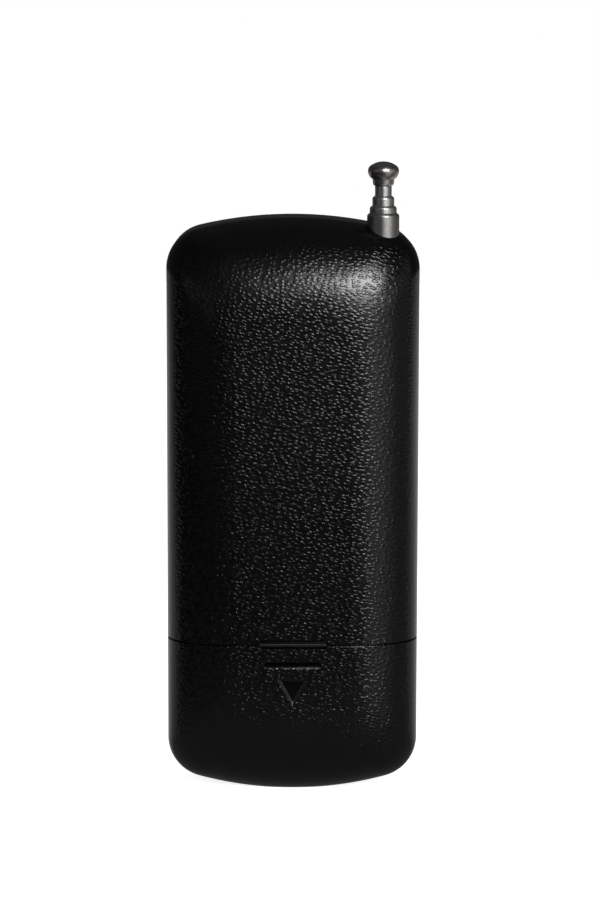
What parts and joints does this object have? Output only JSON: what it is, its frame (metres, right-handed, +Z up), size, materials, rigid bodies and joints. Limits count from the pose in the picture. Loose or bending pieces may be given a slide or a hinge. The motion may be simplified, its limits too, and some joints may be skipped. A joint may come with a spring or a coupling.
{
  "type": "handheld wireless transmitter",
  "caption": "Pocket wireless transmitter with a rolled, grained back, a sliding battery cap, push keys and a telescopic mast.",
  "frame": {"origin": "bottom centre of the whole object's box: the middle of the case's foot", "axes": "+Z up along the case and the mast, +Y out of the keypad side, -Y out of the grained back, +X towards the mast"},
  "size_m": [0.0466, 0.025, 0.1165],
  "materials": {
    "case_plastic": "black grained plastic",
    "key_rubber": "dark grey moulded keys",
    "switch_plastic": "black moulded plastic",
    "plunger_plastic": "white moulded plastic",
    "foam": "dark foam",
    "battery_jacket": "thin bare metal jacket",
    "plated_steel": "plated steel",
    "brass": "bare brass",
    "mast_metal": "satin nickel plate",
    "board": "green board",
    "chip": "black moulded chip",
    "trimmer_plastic": "tan moulded plastic",
    "capacitor_sleeve": "dark blue sleeve",
    "lamp": "tinted red lens",
    "window": "tinted clear window"
  },
  "bodies": {
    "case": {"battery_block": "battery_jacket", "battery_terminals": "plated_steel", "board_screws": "plated_steel", "capacitors": "capacitor_sleeve", "case_screws": "plated_steel", "circuit_board": "board", "contact_plate": "switch_plastic", "contact_springs": "brass", "crystal": "plated_steel", "encoder_chip": "chip", "filter_can": "plated_steel", "front_shell": "case_plastic", "lamp_window": "window", "mast_lug": "brass", "mast_plug": "brass", "mast_screw": "plated_steel", "mast_tube_outer": "mast_metal", "rear_shell": "case_plastic", "status_lamp": "lamp", "switch_body_1": "switch_plastic", "switch_body_2": "switch_plastic", "switch_body_3": "switch_plastic", "switch_body_4": "switch_plastic", "trimmer": "trimmer_plastic", "tuning_coil": "plated_steel"},
    "cap": {"battery_cap": "case_plastic", "cap_catch": "case_plastic", "battery_pad": "foam"},
    "mast_lower": {"mast_tube_lower": "mast_metal", "mast_bush_lower": "brass"},
    "mast_upper": {"mast_tube_upper": "mast_metal", "mast_bush_upper": "brass"},
    "mast_tip": {"mast_rod": "mast_metal", "mast_bush_rod": "brass", "mast_knob": "mast_metal"},
    "key_1": {"key_cap_1": "key_rubber", "switch_plunger_1": "plunger_plastic"},
    "key_2": {"key_cap_2": "key_rubber", "switch_plunger_2": "plunger_plastic"},
    "key_3": {"key_cap_3": "key_rubber", "switch_plunger_3": "plunger_plastic"},
    "key_4": {"key_cap_4": "key_rubber", "switch_plunger_4": "plunger_plastic"}
  },
  "joints": [
    {"name": "cap_slide", "type": "slide", "parent": "case", "child": "cap", "axis": [0, 0, -1], "range_m": [0, 0.03]},
    {"name": "mast_lower_slide", "type": "slide", "parent": "case", "child": "mast_lower", "axis": [0, 0, 1], "range_m": [0, 0.0384]},
    {"name": "mast_upper_slide", "type": "slide", "parent": "mast_lower", "child": "mast_upper", "axis": [0, 0, 1], "range_m": [0, 0.0391]},
    {"name": "mast_tip_slide", "type": "slide", "parent": "mast_upper", "child": "mast_tip", "axis": [0, 0, 1], "range_m": [0, 0.0403]},
    {"name": "key_1_press", "type": "slide", "parent": "case", "child": "key_1", "axis": [0, -1, 0], "range_m": [0, 0.00035], "stiffness_N_per_m": 2500, "springref_m": -0.0004},
    {"name": "key_2_press", "type": "slide", "parent": "case", "child": "key_2", "axis": [0, -1, 0], "range_m": [0, 0.00035], "stiffness_N_per_m": 2500, "springref_m": -0.0004},
    {"name": "key_3_press", "type": "slide", "parent": "case", "child": "key_3", "axis": [0, -1, 0], "range_m": [0, 0.00035], "stiffness_N_per_m": 2500, "springref_m": -0.0004},
    {"name": "key_4_press", "type": "slide", "parent": "case", "child": "key_4", "axis": [0, -1, 0], "range_m": [0, 0.00035], "stiffness_N_per_m": 2500, "springref_m": -0.0004}
  ]
}
